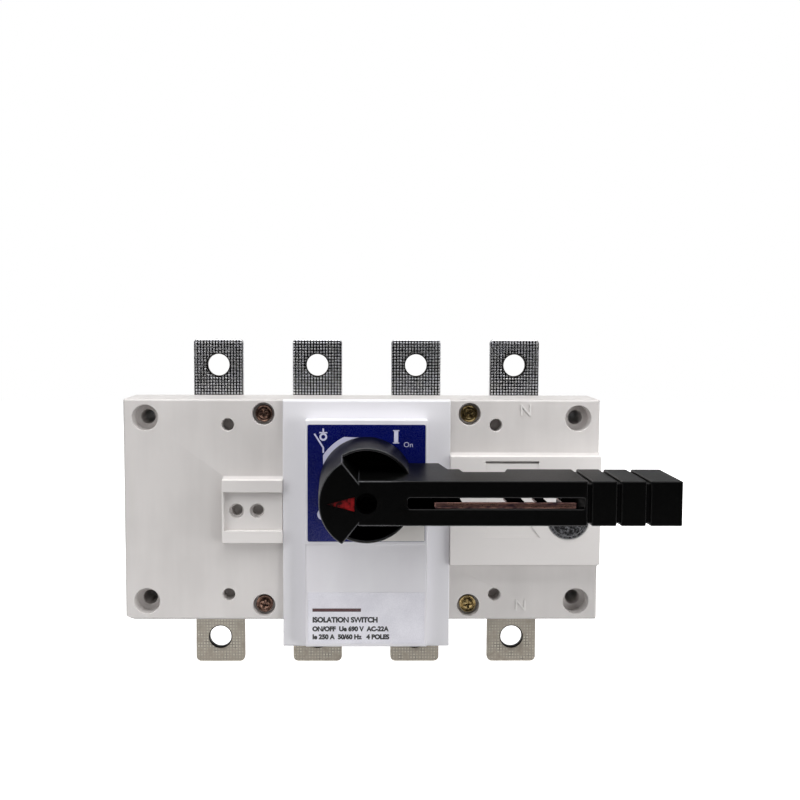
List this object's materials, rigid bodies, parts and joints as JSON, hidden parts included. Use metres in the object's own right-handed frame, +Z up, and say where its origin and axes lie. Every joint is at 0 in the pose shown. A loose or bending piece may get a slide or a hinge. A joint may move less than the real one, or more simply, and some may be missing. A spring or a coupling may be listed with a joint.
{
  "type": "rotary disconnect switch",
  "caption": "Fixed rotary disconnect switch with flat bolted terminals above and below a box housing, and a long side-arm handle with a padlocking tab.",
  "frame": {"origin": "centre of the four mounting holes, on the flat back face of the housing", "axes": "X to the right, +Z up, the front with its handle faces -Y and the back face faces +Y"},
  "size_m": [0.2504, 0.1284, 0.166],
  "materials": {
    "housing": "light grey moulded polyester, satin",
    "cover": "near-white moulded plastic, satin",
    "dial": "dark blue printed plate, satin",
    "label": "blank silvery label",
    "plug": "dark grey, satin",
    "terminals": "tin-plated copper, knurled ends",
    "bronze_screws": "dark bronze passivated steel",
    "gold_screws": "yellow passivated steel",
    "shaft": "bright zinc plate",
    "dark_steel": "black oxide steel",
    "handle": "black glass-filled nylon, half gloss",
    "pointer": "red, satin",
    "tab": "coppery yellow zinc plate"
  },
  "bodies": {
    "switch": {"base_housing": "housing", "front_housing": "housing", "mechanism_cover": "cover", "dial_plate": "dial", "rating_label": "label", "round_plug": "plug", "top_terminal_1": "terminals", "top_terminal_2": "terminals", "top_terminal_3": "terminals", "top_terminal_4": "terminals", "bottom_terminal_1": "terminals", "bottom_terminal_2": "terminals", "bottom_terminal_3": "terminals", "bottom_terminal_4": "terminals", "cover_screw_1": "bronze_screws", "cover_screw_2": "gold_screws", "cover_screw_3": "bronze_screws", "cover_screw_4": "gold_screws"},
    "handle": {"drive_shaft": "shaft", "handle": "handle", "handle_screw": "dark_steel", "pointer": "pointer", "tab_pin": "dark_steel"},
    "tab": {"padlock_tab": "tab"}
  },
  "joints": [
    {"name": "handle_turn", "type": "hinge", "parent": "switch", "child": "handle", "pos_m": [0.0022, -0.0714, 0.0148], "axis": [0, 1, 0], "range_deg": [0, 90]},
    {"name": "padlock_tab_swing", "type": "hinge", "parent": "handle", "child": "tab", "pos_m": [0.0865, -0.1209, 0.0148], "axis": [0, 0, 1], "range_deg": [0, 25]}
  ]
}
